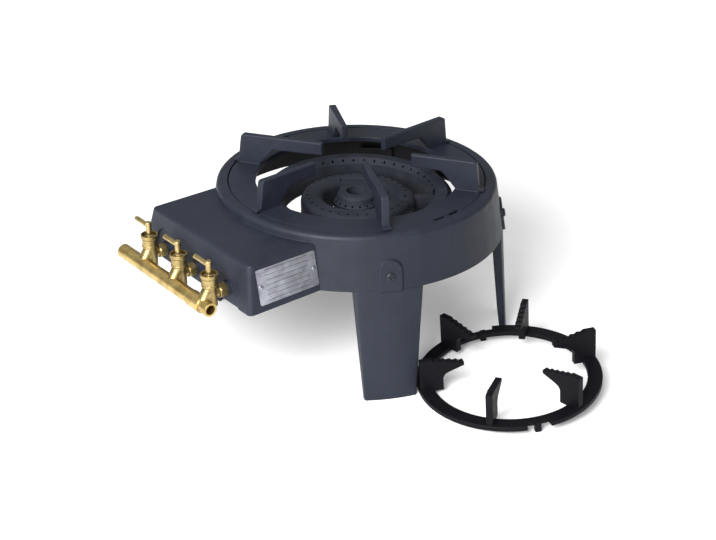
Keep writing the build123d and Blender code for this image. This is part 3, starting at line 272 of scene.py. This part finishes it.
def sheet_metal(name, light, dark):
    """Rolled metal plate: fine brushed grain along its length, soft dull patches, ruled lines."""
    s = Shader(name)
    grain = s.noise(1.0, detail=3.0, rough=0.6, vector=s.stretched((1500.0, 30.0, 1500.0)))
    cloud = s.noise(38.0, detail=5.0, rough=0.65, distortion=0.5)
    colour = s.ramp(s.weighted(0.35, grain, cloud), [(0.38, dark), (0.64, light)])
    y, z = s.axes()[1:]
    # painted reflection: the plate is brightest at its front end and darkens towards the middle
    colour = s.scaled(colour, s.ranged(y, 1.0, PLATE_SHEEN_FADE_TONE, *PLATE_SHEEN_FADE_Y))
    line = s.math("FRACT", s.math("MULTIPLY", z, 1.0 / PLATE_LINE_STEP))
    inner = s.both(
        s.math("GREATER_THAN", y, PLATE_LINES_Y[0]), s.math("LESS_THAN", y, PLATE_LINES_Y[1]))
    rule = s.both(s.math("LESS_THAN", line, PLATE_LINE_SHARE), inner)
    colour = s.scaled(colour, s.ranged(rule, 1.0, PLATE_LINE_TONE))
    roughness = s.ranged(cloud, 0.36, 0.52, from_low=0.3, from_high=0.7)
    normal = s.bump(grain, strength=0.15, distance=0.0001, normal=s.rounded(0.0003))
    return s.finish(colour, roughness, normal, metallic=0.9)


TURNED = (70.0, 70.0, 2400.0)       # noise scales that draw tool marks out around an upright axis
DRAWN = (60.0, 2400.0, 2400.0)      # the same along the pipe
CASING = cast_iron(
    "casing_paint", dark=(0.0105, 0.0128, 0.0210), light=(0.0150, 0.0182, 0.0292),
    rough=(0.44, 0.56), grain=0.35, waves=0.20, edge_radius=0.0018, specular=0.24,
    shade=painted_inside_shade)
BURNER = cast_iron(
    "burner_iron", dark=(0.0140, 0.0158, 0.0232), light=(0.0250, 0.0280, 0.0390),
    rough=(0.55, 0.72), grain=0.75, waves=0.45, edge_radius=0.0012, specular=0.16,
    shade=painted_burner_shade, ports=True)
BLACK = cast_iron(
    "black_iron", dark=(0.0032, 0.0032, 0.0046), light=(0.0058, 0.0058, 0.0078),
    rough=(0.46, 0.60), grain=0.40, waves=0.25, edge_radius=0.0012, specular=0.09)
SCREW = cast_iron(
    "screw_paint", dark=(0.0090, 0.0104, 0.0160), light=(0.0150, 0.0172, 0.0250),
    rough=(0.38, 0.50), grain=0.15, waves=0.10, edge_radius=0.0005, specular=0.30)
BRASS_CAST = brass(
    "brass_cast", light=(0.37, 0.285, 0.125), dark=(0.20, 0.14, 0.052), scratch=0.10)
BRASS_TURNED = brass(
    "brass_turned", light=(0.46, 0.36, 0.165), dark=(0.28, 0.20, 0.08), scratch=0.22,
    stretch=TURNED)
BRASS_DRAWN = brass(
    "brass_drawn", light=(0.58, 0.43, 0.17), dark=(0.36, 0.25, 0.085), scratch=0.16,
    stretch=DRAWN)
PLATE = sheet_metal("plate_metal", light=(0.56, 0.58, 0.64), dark=(0.22, 0.22, 0.26))

# Each piece takes the material of the longest of these that its name starts with.
FINISH = {
    "body_casting": CASING,
    "leg_": CASING,
    "pot_ring": CASING,
    "burner_outer_ring": BURNER,
    "burner_middle_ring": BURNER,
    "burner_inner_ring": BURNER,
    "mixing_tube": BURNER,
    "small_pot_ring": BLACK,
    "leg_screws": SCREW,
    "leg_nuts": SCREW,
    "burner_screws": SCREW,
    "data_plate": PLATE,
    "plate_rivets": PLATE,
    "tap_body": BRASS_CAST,
    "outlet_nuts": BRASS_CAST,
    "tap_plug": BRASS_TURNED,
    "tap_lever": BRASS_TURNED,
    "tap_glands": BRASS_TURNED,
    "injectors": BRASS_TURNED,
    "stop_screws": BRASS_TURNED,
    "manifold_pipe": BRASS_DRAWN,
    "inlet_fitting": BRASS_DRAWN,
}


def finish_for(name):
    return FINISH[max((key for key in FINISH if name.startswith(key)), key=len)]


for name, node in nodes.items():
    node.data.materials.clear()
    node.data.materials.append(finish_for(name))


# ---------------------------------------------------------------- floor, light, camera

def make_floor():
    """White paper that glows more with distance, so it has no visible end."""
    bpy.ops.mesh.primitive_plane_add(size=FLOOR_SIZE, location=(0, 0, 0))
    floor = bpy.context.object
    floor.name = "floor"
    s = Shader("floor_paper")
    tone = s.noise(3.0, detail=2.0, rough=0.5)
    colour = s.ramp(tone, [(0.3, (0.90, 0.90, 0.90)), (0.7, (0.92, 0.92, 0.92))])
    normal = s.bump(s.noise(200.0), strength=0.05, distance=0.0002)
    s.finish(colour, 0.9, normal, specular=0.0)
    s.bsdf.inputs["Emission Color"].default_value = (1.0, 1.0, 1.0, 1.0)
    glow = s.ranged(s.axis_distance(), *FLOOR_GLOW, *FLOOR_GLOW_R)
    s.link(glow, s.bsdf.inputs["Emission Strength"])
    floor.data.materials.append(s.material)


def area_light(name, place, target, size, power):
    data = bpy.data.lights.new(name, "AREA")
    data.shape = "RECTANGLE"
    data.size, data.size_y = size
    data.energy = power
    lamp = bpy.data.objects.new(name, data)
    lamp.location = place
    lamp.rotation_euler = (Vector(target) - Vector(place)).to_track_quat("-Z", "Y").to_euler()
    bpy.context.scene.collection.objects.link(lamp)


def make_world(horizon, zenith):
    """White surroundings like a light tent, brighter overhead than at the sides."""
    world = bpy.data.worlds.new("studio")
    world.use_nodes = True
    tree = world.node_tree
    background = tree.nodes["Background"]
    background.inputs["Color"].default_value = (1.0, 1.0, 1.0, 1.0)
    place = tree.nodes.new("ShaderNodeTexCoord")
    split = tree.nodes.new("ShaderNodeSeparateXYZ")
    height = tree.nodes.new("ShaderNodeMapRange")
    height.inputs["To Min"].default_value = horizon
    height.inputs["To Max"].default_value = zenith
    tree.links.new(place.outputs["Generated"], split.inputs["Vector"])
    tree.links.new(split.outputs["Z"], height.inputs["Value"])
    tree.links.new(height.outputs["Result"], background.inputs["Strength"])
    bpy.context.scene.world = world


def make_camera(place, target, lens):
    data = bpy.data.cameras.new("camera")
    data.sensor_width = 36.0
    data.lens = lens
    data.clip_start = 0.01
    camera = bpy.data.objects.new("camera", data)
    camera.location = place
    camera.rotation_euler = (Vector(target) - camera.location).to_track_quat("-Z", "Y").to_euler()
    bpy.context.scene.collection.objects.link(camera)
    bpy.context.scene.camera = camera


make_floor()
make_world(horizon=0.10, zenith=0.85)
area_light(
    "key", place=(0.90, -1.90, 1.53), target=(0, 0, 0.15), size=(1.3, 1.3), power=118.0)
make_camera(place=(1.3282, -1.0837, 0.9912), target=(0.0032, 0.0, 0.0842), lens=65.4)
bpy.context.scene.view_settings.view_transform = "Standard"
